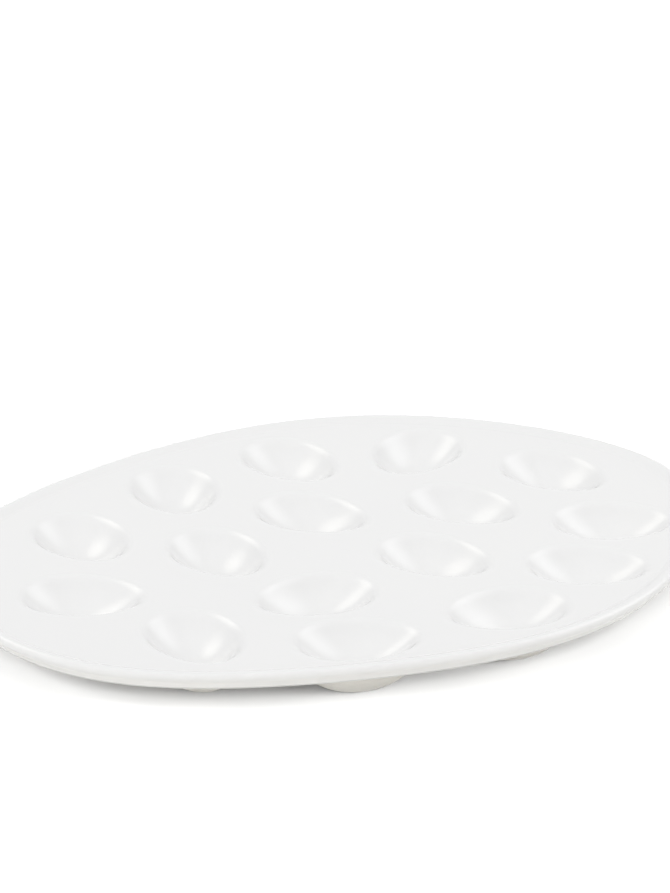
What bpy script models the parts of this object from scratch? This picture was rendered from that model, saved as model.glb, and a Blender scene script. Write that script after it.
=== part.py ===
"""Egg platter: an egg-shaped porcelain dish with sixteen egg wells, glazed on its upper side.

Units are metres and +Z is up. The origin is on the table under the middle of the dish, and +X points to
its broad end. The fired body stands on the bare flat under each well. The glaze is a thin coat over the
deck, the wells, the lip and the outer side, and it stops where the side turns under.
"""
import math

import bmesh
import bpy

# Dish
BODY_LENGTH = 0.3878
BODY_WIDTH = 0.2962
BODY_SKEW = 0.0042          # how far the flanks are moved out at the broad end and in at the narrow end
DECK_THICKNESS = 0.007
FLOOR_THICKNESS = 0.0085    # porcelain under a well

# Lip and outer side
LIP_WIDTH = 0.0085
LIP_RISE = 0.002
CREST_RADIUS = 0.0018
SIDE_RUN = 0.0055           # how far the outer side leans in on its way down
SIDE_ROUND = 0.003          # width of the turn from the side to the underside
SIDE_TURN_HEIGHT = 0.0008

# Egg wells, whose size is a share of the dish, so that they stay apart in a shorter or narrower one
WELL_LENGTH = min(0.1702 * BODY_LENGTH, 0.2228 * BODY_WIDTH)
WELL_WIDTH = 0.742 * WELL_LENGTH
WELL_SKEW = 0.0025
WELL_DEPTH = 0.0145
WELL_ROUND = 0.004          # width of the rounded rim of a well
BULGE_INSET = 0.001         # the bulge under the deck is this much narrower than its well, on each side
BULGE_POWER = 3.0           # fullness of a bulge: a higher power has a broader bottom
FOOT_LENGTH = 0.014
FOOT_WIDTH = 0.010

# Places of the wells, as shares of the half length and the half width, and their turn in degrees
WELLS = (
    # outer ring, from the narrow end
    (-0.697, -0.019, 147),
    (-0.550, 0.408, 95),
    (-0.208, 0.632, 79),
    (0.150, 0.687, 99),
    (0.474, 0.550, 38),
    (0.729, 0.180, 110),
    (0.696, -0.285, 153),
    (0.497, -0.560, 146),
    (0.191, -0.739, -8),
    (-0.217, -0.721, 162),
    (-0.555, -0.467, 89),
    # inner ring
    (0.407, 0.069, 122),
    (0.036, 0.239, 124),
    (-0.286, 0.089, 95),
    (-0.187, -0.362, -6),
    (0.186, -0.264, 119),
)

# Glaze
GLAZE_GAP = 0.0003
GLAZE_THICKNESS = 0.0005

# Facets
DISH_SIDES = 48
WELL_SIDES = 14
LIP_STEPS = 4
CREST_TURNS = (45.0, 0.0, -45.0)
BOWL_SHARES = (0.62, 0.32)
BULGE_SHARES = (1.0, 0.78, 0.5)

DECK_TOP = WELL_DEPTH + FLOOR_THICKNESS
DECK_UNDERSIDE = DECK_TOP - DECK_THICKNESS


def dish_loop(inset, sides):
    """Points of the dish's egg outline, moved in by an inset, counter-clockwise from the broad end."""
    points = []
    for i in range(sides):
        angle = math.tau * i / sides
        x = (BODY_LENGTH / 2 - inset) * math.cos(angle)
        y = (BODY_WIDTH / 2 - inset) * math.sin(angle) - BODY_SKEW * math.sin(4 * angle)
        points.append((x, y))
    return points


def egg_loop(length, width, skew, sides):
    """Points of a well's egg outline, counter-clockwise from its broad end."""
    points = []
    for i in range(sides):
        angle = math.tau * i / sides
        points.append((length / 2 * math.cos(angle), (width / 2 + skew * math.cos(angle)) * math.sin(angle)))
    return points


def well_places():
    """Centre and turn of each well."""
    places = []
    for along, across, turn in WELLS:
        places.append((along * BODY_LENGTH / 2, across * BODY_WIDTH / 2, math.radians(turn)))
    return places


def bowl_height(share):
    """Height of a well's surface where its outline has shrunk to a share of the rim."""
    turn = 1.0 - WELL_ROUND / (WELL_WIDTH / 2)
    if share > turn:
        drop = WELL_DEPTH * (1.0 - share) ** 2 / (1.0 - turn)
    else:
        drop = WELL_DEPTH * (1.0 - share ** 2 / turn)
    return DECK_TOP - drop


def rim_profile():
    """Inset from the outline and height, from the deck over the lip and down the side to the underside."""
    crest = DECK_TOP + LIP_RISE
    profile = []
    for i in range(LIP_STEPS + 1):
        share = i / LIP_STEPS
        inset = LIP_WIDTH + (CREST_RADIUS - LIP_WIDTH) * share
        profile.append((inset, DECK_TOP + LIP_RISE * (1.0 - math.cos(math.pi * share)) / 2))
    for turn in CREST_TURNS:
        angle = math.radians(turn)
        inset = CREST_RADIUS * (1.0 - math.cos(angle))
        profile.append((inset, crest - CREST_RADIUS * (1.0 - math.sin(angle))))
    profile.append((SIDE_RUN, DECK_UNDERSIDE + SIDE_TURN_HEIGHT))
    profile.append((SIDE_RUN + SIDE_ROUND, DECK_UNDERSIDE))
    return profile


def add_loop(bm, points, height):
    """Add a closed loop of vertices at one height."""
    return [bm.verts.new((x, y, height)) for x, y in points]


def loft(bm, loops):
    """Join successive loops of equal length with quads."""
    for lower, upper in zip(loops, loops[1:]):
        for i in range(len(lower)):
            j = (i + 1) % len(lower)
            bm.faces.new((lower[i], lower[j], upper[j], upper[i]))


def placed(points, place):
    """Turn an outline and move it to a well's place."""
    x0, y0, turn = place
    c, s = math.cos(turn), math.sin(turn)
    return [(x0 + x * c - y * s, y0 + x * s + y * c) for x, y in points]


def scaled(points, share):
    return [(x * share, y * share) for x, y in points]


def add_well(bm, place):
    """A well's bowl, open at the deck; returns its rim loop."""
    outline = egg_loop(WELL_LENGTH, WELL_WIDTH, WELL_SKEW, WELL_SIDES)
    turn = 1.0 - WELL_ROUND / (WELL_WIDTH / 2)
    shares = (1.0, (1.0 + turn) / 2, turn) + BOWL_SHARES
    loops = [add_loop(bm, placed(scaled(outline, share), place), bowl_height(share)) for share in shares]
    loft(bm, loops)
    bottom = bm.faces.new(loops[-1])
    centre = bmesh.ops.poke(bm, faces=[bottom])["verts"][0]
    centre.co.z = bowl_height(0.0)
    return loops[0]


def add_bulge(bm, place):
    """The rounded underside of a well with the flat that it stands on; returns its loop at the deck."""
    outline = egg_loop(WELL_LENGTH - 2 * BULGE_INSET, WELL_WIDTH - 2 * BULGE_INSET, WELL_SKEW, WELL_SIDES)
    loops = []
    for share in BULGE_SHARES:
        height = DECK_UNDERSIDE * share ** BULGE_POWER
        loops.append(add_loop(bm, placed(scaled(outline, share), place), height))
    foot = egg_loop(FOOT_LENGTH, FOOT_WIDTH, 0.0, WELL_SIDES)
    loops.append(add_loop(bm, placed(foot, place), 0.0))
    loft(bm, loops)
    bm.faces.new(loops[-1])
    return loops[0]


def fill_deck(bm, rim, holes):
    """Fill the flat between the dish's rim loop and the loops of the wells."""
    edges = []
    for loop in [rim] + holes:
        for i, vert in enumerate(loop):
            edges.append(bm.edges.get((vert, loop[(i + 1) % len(loop)])))
    bmesh.ops.triangle_fill(bm, use_beauty=True, use_dissolve=False, edges=edges)


def add_rim(bm, profile):
    """Loft the rim's section round the dish; returns its first and last loops."""
    loops = []
    for inset, height in profile:
        loops.append(add_loop(bm, dish_loop(inset, DISH_SIDES), height))
    loft(bm, loops)
    return loops[0], loops[-1]


def add_upper_side(bm, profile, places):
    """Deck, wells and rim as one open surface; returns the rim's last loop."""
    deck_edge, last = add_rim(bm, profile)
    fill_deck(bm, deck_edge, [add_well(bm, place) for place in places])
    return last


def new_object(name, bm, collection, material):
    """Turn a bmesh into a smooth-shaded object with its own material."""
    bmesh.ops.recalc_face_normals(bm, faces=bm.faces)
    mesh = bpy.data.meshes.new(name)
    bm.to_mesh(mesh)
    bm.free()
    mesh.shade_smooth()
    mesh.set_sharp_from_angle(angle=math.radians(50.0))
    mesh.materials.append(material)
    obj = bpy.data.objects.new(name, mesh)
    collection.objects.link(obj)
    return obj


def new_material(name, colour, roughness):
    material = bpy.data.materials.new(name)
    material.use_nodes = True
    shader = material.node_tree.nodes["Principled BSDF"]
    shader.inputs["Base Color"].default_value = (*colour, 1.0)
    shader.inputs["Roughness"].default_value = roughness
    shader.inputs["Metallic"].default_value = 0.0
    return material


def make_body(collection, places):
    """The fired porcelain: the upper side, the underside with its bulges, and the rim between them."""
    bm = bmesh.new()
    under_edge = add_upper_side(bm, rim_profile(), places)
    fill_deck(bm, under_edge, [add_bulge(bm, place) for place in places])
    return new_object("porcelain_body", bm, collection, new_material("bisque", (0.80, 0.78, 0.74), 0.55))


def make_glaze(collection, places):
    """The glaze: the upper side again, lifted off the body by the gap and given its thickness."""
    bm = bmesh.new()
    add_upper_side(bm, rim_profile()[:-1], places)
    glaze = new_object("glaze_coat", bm, collection, new_material("glaze", (0.86, 0.86, 0.85), 0.08))
    lift = glaze.modifiers.new("lift", "DISPLACE")
    lift.mid_level = 0.0
    lift.strength = GLAZE_GAP
    coat = glaze.modifiers.new("coat", "SOLIDIFY")
    coat.thickness = GLAZE_THICKNESS
    coat.offset = 1.0
    return glaze


def main():
    for obj in list(bpy.data.objects):
        bpy.data.objects.remove(obj, do_unlink=True)
    collection = bpy.data.collections.new("egg_platter")
    bpy.context.scene.collection.children.link(collection)
    places = well_places()
    make_body(collection, places)
    make_glaze(collection, places)


main()
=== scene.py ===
"""Looks of the egg platter: a glazed upper side over a bare porcelain body, on a white studio floor.

Lengths are in metres. Directions of light are given as seen by the camera: right, away and up.
"""
import math

import bmesh
import bpy
from mathutils import Matrix, Vector


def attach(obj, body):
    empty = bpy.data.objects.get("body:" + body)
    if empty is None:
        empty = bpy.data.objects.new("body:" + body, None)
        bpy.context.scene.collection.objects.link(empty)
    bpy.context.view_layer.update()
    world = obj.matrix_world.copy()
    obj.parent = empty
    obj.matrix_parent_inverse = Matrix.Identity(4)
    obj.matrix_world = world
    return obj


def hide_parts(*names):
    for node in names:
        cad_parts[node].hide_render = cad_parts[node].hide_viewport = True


# Dish
BODY_LENGTH = 0.3878
BODY_WIDTH = 0.2962
BODY_SKEW = 0.0042          # how far the flanks are moved out at the broad end and in at the narrow end
DECK_THICKNESS = 0.007
FLOOR_THICKNESS = 0.0085    # porcelain under a well

# Lip and outer side
LIP_WIDTH = 0.0085
LIP_RISE = 0.002
CREST_RADIUS = 0.0018
CREST_END = math.radians(-45.0)  # where the rounded crest becomes the outer side
SIDE_RUN = 0.0055           # how far the outer side leans in on its way down
SIDE_ROUND = 0.003          # width of the turn from the side to the underside
SIDE_TURN_HEIGHT = 0.0008

# Egg wells
WELL_LENGTH = 0.066
WELL_WIDTH = 0.04897
WELL_SKEW = 0.0025
WELL_DEPTH = 0.0145
WELL_ROUND = 0.004          # width of the rounded rim of a well
BULGE_INSET = 0.001         # the bulge under the deck is this much narrower than its well, on each side
BULGE_POWER = 3.0           # fullness of a bulge: a higher power has a broader bottom
FOOT_LENGTH = 0.014
FOOT_WIDTH = 0.010

# Places of the wells, as shares of the half length and the half width, and their turn in degrees
WELLS = (
    # outer ring, from the narrow end
    (-0.697, -0.019, 147),
    (-0.550, 0.408, 95),
    (-0.208, 0.632, 79),
    (0.150, 0.687, 99),
    (0.474, 0.550, 38),
    (0.729, 0.180, 110),
    (0.696, -0.285, 153),
    (0.497, -0.560, 146),
    (0.191, -0.739, -8),
    (-0.217, -0.721, 162),
    (-0.555, -0.467, 89),
    # inner ring
    (0.407, 0.069, 122),
    (0.036, 0.239, 124),
    (-0.286, 0.089, 95),
    (-0.187, -0.362, -6),
    (0.186, -0.264, 119),
)

# Glaze: its place on the body, then its looks, which vary between two tones and two roughnesses
GLAZE_GAP = 0.0003
GLAZE_THICKNESS = 0.0005
GLAZE_IOR = 1.5
GLAZE_TONES = ((0.85, 0.85, 0.85, 1.0), (0.87, 0.87, 0.865, 1.0))
GLAZE_ROUGHNESS = (0.10, 0.16)
TONE_SCALE = 9.0
TONE_DETAIL = 3.0
RIPPLE_SCALE = 60.0
RIPPLE_DETAIL = 1.0
RIPPLE_STRENGTH = 0.02
RIPPLE_HEIGHT = 0.001

# Bare porcelain
BISQUE_TONES = ((0.78, 0.765, 0.73, 1.0), (0.83, 0.815, 0.78, 1.0))
BISQUE_ROUGHNESS = 0.6
GRAIN_SCALE = 900.0
GRAIN_DETAIL = 2.0
GRAIN_STRENGTH = 0.15
GRAIN_HEIGHT = 0.0005

# Fineness of the meshes
DISH_SIDES = 240
WELL_SIDES = 64
LIP_STEPS = 14
CREST_STEPS = 14
ROUND_STEPS = 8
BOWL_STEPS = 14
BULGE_STEPS = 12
SIDE_STEPS = 4
EDGE_BAND = 0.0002          # width of a flat band along each edge of the deck, which keeps its shading even

DECK_TOP = WELL_DEPTH + FLOOR_THICKNESS
DECK_UNDERSIDE = DECK_TOP - DECK_THICKNESS

# Camera: lens in millimetres, angles in degrees, and its place to the right of, behind and above the origin
CAMERA_LENS = 161.3
CAMERA_AZIMUTH = -27.6
CAMERA_PITCH = 22.25
CAMERA_RIGHT = 0.0018
CAMERA_BACK = 1.7986
CAMERA_HEIGHT = 0.8092

# Floor: its paint as it is seen, and as a light on the dish
FLOOR_SIZE = 8.0
FLOOR_COLOUR = (0.42, 0.42, 0.42, 1.0)
FLOOR_BOUNCE = (0.236, 0.233, 0.222, 1.0)

# Light from all round the dish: its level, the sharpness of its bright areas, and the direction and
# strength of each of those
FILL_LEVEL = 0.52
FILL_SHARPNESS = 6.0
FILL_AREAS = (
    ((0.704, 0.704, 0.087), 1.00),
    ((-0.819, 0.0, 0.574), 0.43),
    ((0.0, -0.469, 0.883), 1.63),
)

# Round lamps that are seen in the glaze: direction, distance, diameter, share of the radius that fades
# out, brightness, colour
GLINTS = {
    "key_lamp": ((-0.58, 0.44, 0.685), 2.4, 2.0, 0.8, 1.9, (1.0, 0.97, 0.88)),
    "side_lamp": ((0.70, 0.31, 0.645), 3.0, 4.0, 1.0, 1.9, (0.98, 0.99, 1.0)),
}

# Square lamps that light the floor alone: direction and brightness
FLOOR_LAMPS = {
    "floor_lamp_front": ((0.0, -0.90, 0.44), 48.0),
    "floor_lamp_front_right": ((0.60, -0.50, 0.62), 18.0),
    "floor_lamp_right": ((0.93, -0.30, 0.20), 83.0),
    "floor_lamp_front_left": ((-0.70, -0.50, 0.36), 25.0),
    "floor_lamp_left": ((-0.85, -0.20, 0.49), 32.0),
}
FLOOR_LAMP_DISTANCE = 6.0
FLOOR_LAMP_SIZE = 2.0


def dish_loop(inset, sides):
    """Points of the dish's egg outline, moved in by an inset, counter-clockwise from the broad end."""
    points = []
    for i in range(sides):
        angle = math.tau * i / sides
        x = (BODY_LENGTH / 2 - inset) * math.cos(angle)
        y = (BODY_WIDTH / 2 - inset) * math.sin(angle) - BODY_SKEW * math.sin(4 * angle)
        points.append((x, y))
    return points


def egg_loop(length, width, skew, sides):
    """Points of a well's egg outline, counter-clockwise from its broad end."""
    points = []
    for i in range(sides):
        angle = math.tau * i / sides
        x = length / 2 * math.cos(angle)
        y = (width / 2 + skew * math.cos(angle)) * math.sin(angle)
        points.append((x, y))
    return points


def well_places():
    """Centre and turn of each well."""
    places = []
    for along, across, turn in WELLS:
        places.append((along * BODY_LENGTH / 2, across * BODY_WIDTH / 2, math.radians(turn)))
    return places


def spread(first, last, steps):
    """Evenly spaced numbers from first to last, with both ends."""
    return [first + (last - first) * i / steps for i in range(steps + 1)]


def bowl_turn():
    """Share of a well's outline at which its rounded rim becomes its bowl."""
    return 1.0 - WELL_ROUND / (WELL_WIDTH / 2)


def bowl_height(share):
    """Height of a well's surface where its outline has shrunk to a share of the rim."""
    turn = bowl_turn()
    if share > turn:
        drop = WELL_DEPTH * max(0.0, 1.0 - share) ** 2 / (1.0 - turn)
    else:
        drop = WELL_DEPTH * (1.0 - share ** 2 / turn)
    return DECK_TOP - drop


def rim_profile():
    """Inset from the outline and height, from the deck over the lip to where the side turns under."""
    crest = DECK_TOP + LIP_RISE
    profile = [(LIP_WIDTH + EDGE_BAND, DECK_TOP)]
    for share in spread(0.0, 1.0, LIP_STEPS):
        inset = LIP_WIDTH + (CREST_RADIUS - LIP_WIDTH) * share
        profile.append((inset, DECK_TOP + LIP_RISE * (1.0 - math.cos(math.pi * share)) / 2))
    for angle in spread(math.pi / 2, CREST_END, CREST_STEPS)[1:]:
        inset = CREST_RADIUS * (1.0 - math.cos(angle))
        profile.append((inset, crest - CREST_RADIUS * (1.0 - math.sin(angle))))
    inset, height = profile[-1]
    for share in spread(0.0, 1.0, SIDE_STEPS)[1:]:
        foot = DECK_UNDERSIDE + SIDE_TURN_HEIGHT
        profile.append((inset + (SIDE_RUN - inset) * share, height + (foot - height) * share))
    return profile


def add_loop(bm, points, height):
    """Add a closed loop of vertices at one height."""
    return [bm.verts.new((x, y, height)) for x, y in points]


def loft(bm, loops):
    """Join successive loops of equal length with smooth quads."""
    for lower, upper in zip(loops, loops[1:]):
        for i in range(len(lower)):
            j = (i + 1) % len(lower)
            bm.faces.new((lower[i], lower[j], upper[j], upper[i])).smooth = True


def placed(points, place):
    """Turn an outline and move it to a well's place."""
    x0, y0, turn = place
    cosine = math.cos(turn)
    sine = math.sin(turn)
    return [(x0 + x * cosine - y * sine, y0 + x * sine + y * cosine) for x, y in points]


def scaled(points, share):
    """Shrink an outline about its own centre."""
    return [(x * share, y * share) for x, y in points]


def close_bowl(bm, loop, height):
    """Close a loop with a smooth fan about a centre at the given height."""
    fan = bmesh.ops.poke(bm, faces=[bm.faces.new(loop)])
    fan["verts"][0].co.z = height
    for face in fan["faces"]:
        face.smooth = True


def add_well(bm, place):
    """A well's bowl, open at the deck; returns its rim loop."""
    outline = egg_loop(WELL_LENGTH, WELL_WIDTH, WELL_SKEW, WELL_SIDES)
    turn = bowl_turn()
    band = 1.0 + EDGE_BAND / (WELL_WIDTH / 2)
    shares = [band] + spread(1.0, turn, ROUND_STEPS) + spread(turn, 0.0, BOWL_STEPS)[1:-1]
    loops = []
    for share in shares:
        loops.append(add_loop(bm, placed(scaled(outline, share), place), bowl_height(share)))
    loft(bm, loops)
    close_bowl(bm, loops[-1], bowl_height(0.0))
    return loops[0]


def add_bulge(bm, place):
    """The rounded underside of a well with the flat that it stands on; returns its loop at the deck."""
    outline = egg_loop(WELL_LENGTH - 2 * BULGE_INSET, WELL_WIDTH - 2 * BULGE_INSET, WELL_SKEW, WELL_SIDES)
    foot = egg_loop(FOOT_LENGTH, FOOT_WIDTH, 0.0, WELL_SIDES)
    loops = []
    for share in spread(1.0, FOOT_LENGTH / WELL_LENGTH, BULGE_STEPS)[:-1]:
        height = DECK_UNDERSIDE * share ** BULGE_POWER
        loops.append(add_loop(bm, placed(scaled(outline, share), place), height))
    loops.append(add_loop(bm, placed(foot, place), 0.0))
    loft(bm, loops)
    bm.faces.new(loops[-1])
    return loops[0]


def fill_deck(bm, rim, holes):
    """Fill the flat between the dish's rim loop and the loops of the wells."""
    edges = []
    for loop in [rim] + holes:
        for i, vert in enumerate(loop):
            edges.append(bm.edges.get((vert, loop[(i + 1) % len(loop)])))
    bmesh.ops.triangle_fill(bm, use_beauty=True, use_dissolve=False, edges=edges)


def add_rim(bm, profile):
    """Loft the rim's section round the dish; returns its first and last loops."""
    loops = []
    for inset, height in profile:
        loops.append(add_loop(bm, dish_loop(inset, DISH_SIDES), height))
    loft(bm, loops)
    return loops[0], loops[-1]


def add_upper_side(bm, profile, places):
    """Deck, wells and rim as one open surface; returns the rim's last loop."""
    deck_edge, last = add_rim(bm, profile)
    fill_deck(bm, deck_edge, [add_well(bm, place) for place in places])
    return last


def new_piece(name, bm, node):
    """Turn a bmesh into a piece that stands for a node of the frame and rides on the one body."""
    bmesh.ops.recalc_face_normals(bm, faces=bm.faces)
    mesh = bpy.data.meshes.new(name)
    bm.to_mesh(mesh)
    bm.free()
    piece = bpy.data.objects.new(name, mesh)
    bpy.context.scene.collection.objects.link(piece)
    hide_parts(node)
    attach(piece, "root")
    return piece


def make_glaze(places):
    """The glaze coat: the upper side lifted off the body, with its thickness added inwards."""
    bm = bmesh.new()
    add_upper_side(bm, rim_profile(), places)
    bmesh.ops.recalc_face_normals(bm, faces=bm.faces)
    bm.normal_update()
    lifted = [(vert, vert.co + vert.normal * (GLAZE_GAP + GLAZE_THICKNESS)) for vert in bm.verts]
    for vert, place in lifted:
        vert.co = place
    piece = new_piece("glaze_skin", bm, "glaze_coat")
    coat = piece.modifiers.new("coat", "SOLIDIFY")
    coat.thickness = GLAZE_THICKNESS
    coat.offset = -1.0
    return piece


def make_body(places):
    """The fired body: a closed shell, bare on its underside."""
    bm = bmesh.new()
    profile = rim_profile() + [(SIDE_RUN + SIDE_ROUND, DECK_UNDERSIDE)]
    under_edge = add_upper_side(bm, profile, places)
    fill_deck(bm, under_edge, [add_bulge(bm, place) for place in places])
    return new_piece("porcelain_cast", bm, "porcelain_body")


def link(tree, source, target):
    """Join an output socket to an input socket."""
    tree.links.new(source, target)


def new_material(name):
    """A material with nodes; returns it with its node tree and its shader."""
    material = bpy.data.materials.new(name)
    material.use_nodes = True
    return material, material.node_tree, material.node_tree.nodes["Principled BSDF"]


def new_noise(tree, scale, detail):
    """Output of a noise in the piece's own coordinates."""
    place = tree.nodes.new("ShaderNodeTexCoord")
    noise = tree.nodes.new("ShaderNodeTexNoise")
    noise.inputs["Scale"].default_value = scale
    noise.inputs["Detail"].default_value = detail
    link(tree, place.outputs["Object"], noise.inputs["Vector"])
    return noise.outputs["Fac"]


def add_tones(tree, shader, noise, tones):
    """Let a noise vary the shader's colour between two tones."""
    colour = tree.nodes.new("ShaderNodeValToRGB")
    for element, tone in zip(colour.color_ramp.elements, tones):
        element.color = tone
    link(tree, noise, colour.inputs["Fac"])
    link(tree, colour.outputs["Color"], shader.inputs["Base Color"])


def add_relief(tree, shader, noise, strength, height):
    """Let a noise raise the shader's surface a little."""
    bump = tree.nodes.new("ShaderNodeBump")
    bump.inputs["Strength"].default_value = strength
    bump.inputs["Distance"].default_value = height
    link(tree, noise, bump.inputs["Height"])
    link(tree, bump.outputs["Normal"], shader.inputs["Normal"])


def glaze_material():
    """Glossy white glaze with a faint ripple and slight changes of tone."""
    material, tree, shader = new_material("white_glaze")
    shader.inputs["IOR"].default_value = GLAZE_IOR
    tone = new_noise(tree, TONE_SCALE, TONE_DETAIL)
    add_tones(tree, shader, tone, GLAZE_TONES)
    low, high = GLAZE_ROUGHNESS
    gloss = tree.nodes.new("ShaderNodeMapRange")
    gloss.inputs["To Min"].default_value = low
    gloss.inputs["To Max"].default_value = high
    link(tree, tone, gloss.inputs["Value"])
    link(tree, gloss.outputs["Result"], shader.inputs["Roughness"])
    ripple = new_noise(tree, RIPPLE_SCALE, RIPPLE_DETAIL)
    add_relief(tree, shader, ripple, RIPPLE_STRENGTH, RIPPLE_HEIGHT)
    return material


def bisque_material():
    """Bare fired porcelain: matte, slightly warm, with a fine grain."""
    material, tree, shader = new_material("bare_porcelain")
    shader.inputs["Roughness"].default_value = BISQUE_ROUGHNESS
    grain = new_noise(tree, GRAIN_SCALE, GRAIN_DETAIL)
    add_tones(tree, shader, grain, BISQUE_TONES)
    add_relief(tree, shader, grain, GRAIN_STRENGTH, GRAIN_HEIGHT)
    return material


def view_turn():
    """Rotation from the camera's directions (right, away, up) to the frame's axes."""
    return Matrix.Rotation(math.radians(CAMERA_AZIMUTH), 3, "Z")


def make_camera():
    """The camera at the photograph's place and angle."""
    data = bpy.data.cameras.new("camera")
    data.lens = CAMERA_LENS
    camera = bpy.data.objects.new("camera", data)
    camera.location = view_turn() @ Vector((CAMERA_RIGHT, -CAMERA_BACK, CAMERA_HEIGHT))
    camera.rotation_euler = (math.radians(90.0 - CAMERA_PITCH), 0.0, math.radians(CAMERA_AZIMUTH))
    bpy.context.scene.collection.objects.link(camera)
    bpy.context.scene.camera = camera


def new_math(tree, operation, number):
    """A math node with its second number filled in."""
    node = tree.nodes.new("ShaderNodeMath")
    node.operation = operation
    node.inputs[1].default_value = number
    return node


def fill_strength(tree):
    """Output with the strength of the light from all round, by direction."""
    place = tree.nodes.new("ShaderNodeTexCoord")
    total = tree.nodes.new("ShaderNodeValue").outputs["Value"]
    total.default_value = FILL_LEVEL
    for direction, bright in FILL_AREAS:
        side = tree.nodes.new("ShaderNodeVectorMath")
        side.operation = "DOT_PRODUCT"
        side.inputs[1].default_value = view_turn() @ Vector(direction)
        ahead = new_math(tree, "MAXIMUM", 0.0)
        narrow = new_math(tree, "POWER", FILL_SHARPNESS)
        area = new_math(tree, "MULTIPLY_ADD", bright)
        link(tree, place.outputs["Generated"], side.inputs[0])
        link(tree, side.outputs["Value"], ahead.inputs[0])
        link(tree, ahead.outputs["Value"], narrow.inputs[0])
        link(tree, narrow.outputs["Value"], area.inputs[0])
        link(tree, total, area.inputs[2])
        total = area.outputs["Value"]
    return total


def make_world():
    """White as a background and in the glaze; as a light, dimmer surroundings with soft bright areas."""
    world = bpy.data.worlds.new("studio")
    world.use_nodes = True
    tree = world.node_tree
    background = tree.nodes["Background"]
    background.inputs["Color"].default_value = (1.0, 1.0, 1.0, 1.0)
    path = tree.nodes.new("ShaderNodeLightPath")
    strength = tree.nodes.new("ShaderNodeMix")
    strength.inputs["A"].default_value = 1.0
    link(tree, fill_strength(tree), strength.inputs["B"])
    link(tree, path.outputs["Is Diffuse Ray"], strength.inputs["Factor"])
    link(tree, strength.outputs["Result"], background.inputs["Strength"])
    bpy.context.scene.world = world


def floor_material():
    """Pale paint, dimmer for the light that it throws on the dish."""
    material, tree, shader = new_material("white_floor")
    tree.nodes.remove(shader)
    paint = tree.nodes.new("ShaderNodeBsdfDiffuse")
    paint.inputs["Color"].default_value = FLOOR_COLOUR
    bounce = tree.nodes.new("ShaderNodeBsdfDiffuse")
    bounce.inputs["Color"].default_value = FLOOR_BOUNCE
    path = tree.nodes.new("ShaderNodeLightPath")
    pick = tree.nodes.new("ShaderNodeMixShader")
    link(tree, path.outputs["Is Diffuse Ray"], pick.inputs["Fac"])
    link(tree, paint.outputs["BSDF"], pick.inputs[1])
    link(tree, bounce.outputs["BSDF"], pick.inputs[2])
    link(tree, pick.outputs["Shader"], tree.nodes["Material Output"].inputs["Surface"])
    return material


def make_floor():
    """A plain pale floor that keeps the dish's shadow and is white where it is lit."""
    bm = bmesh.new()
    bmesh.ops.create_grid(bm, x_segments=1, y_segments=1, size=FLOOR_SIZE / 2)
    mesh = bpy.data.meshes.new("floor")
    bm.to_mesh(mesh)
    bm.free()
    mesh.materials.append(floor_material())
    floor = bpy.data.objects.new("floor", mesh)
    bpy.context.scene.collection.objects.link(floor)
    return floor


def new_lamp(name, towards, distance, brightness, area):
    """An area lamp aimed at the middle of the dish, with a power that goes with its area."""
    data = bpy.data.lights.new(name, "AREA")
    data.energy = brightness * math.pi * area
    lamp = bpy.data.objects.new(name, data)
    lamp.location = view_turn() @ Vector(towards).normalized() * distance
    lamp.rotation_euler = lamp.location.to_track_quat("Z", "Y").to_euler()
    bpy.context.scene.collection.objects.link(lamp)
    return lamp


def soften(data, fade):
    """Fade a round lamp out towards its edge."""
    half = 0.5  # from the middle to the edge, in the lamp's own coordinates
    data.use_nodes = True
    tree = data.node_tree
    place = tree.nodes.new("ShaderNodeNewGeometry")
    middle = tree.nodes.new("ShaderNodeVectorMath")
    middle.operation = "DISTANCE"
    middle.inputs[1].default_value = (half, half, 0.0)
    edge = tree.nodes.new("ShaderNodeMapRange")
    edge.interpolation_type = "SMOOTHSTEP"
    edge.inputs["From Min"].default_value = half
    edge.inputs["From Max"].default_value = half * (1.0 - fade)
    link(tree, place.outputs["Parametric"], middle.inputs[0])
    link(tree, middle.outputs["Value"], edge.inputs["Value"])
    link(tree, edge.outputs["Result"], tree.nodes["Emission"].inputs["Strength"])


def make_glints():
    """Round soft lamps that show as highlights in the glaze and light nothing else."""
    for name, (towards, distance, diameter, fade, brightness, colour) in GLINTS.items():
        lamp = new_lamp(name, towards, distance, brightness, math.pi * diameter ** 2 / 4)
        lamp.data.shape = "DISK"
        lamp.data.size = diameter
        lamp.data.color = colour
        lamp.visible_diffuse = False
        soften(lamp.data, fade)


def make_floor_lamps(floor):
    """Lamps for the floor alone, which keep the dish's shadow under its front edge."""
    floor_only = bpy.data.collections.new("floor_only")
    floor_only.objects.link(floor)
    for name, (towards, brightness) in FLOOR_LAMPS.items():
        lamp = new_lamp(name, towards, FLOOR_LAMP_DISTANCE, brightness, FLOOR_LAMP_SIZE ** 2)
        lamp.data.size = FLOOR_LAMP_SIZE
        lamp.light_linking.receiver_collection = floor_only


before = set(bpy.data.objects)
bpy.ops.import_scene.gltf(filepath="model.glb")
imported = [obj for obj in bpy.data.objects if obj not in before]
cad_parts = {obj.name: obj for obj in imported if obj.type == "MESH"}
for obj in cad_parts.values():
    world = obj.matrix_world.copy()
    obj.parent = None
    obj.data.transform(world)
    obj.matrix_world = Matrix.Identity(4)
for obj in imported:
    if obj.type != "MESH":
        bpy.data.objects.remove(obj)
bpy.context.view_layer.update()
bpy.context.scene.view_settings.view_transform = "Standard"

make_camera()
make_world()
make_floor_lamps(make_floor())
make_glints()
well_list = well_places()
make_glaze(well_list).data.materials.append(glaze_material())
make_body(well_list).data.materials.append(bisque_material())
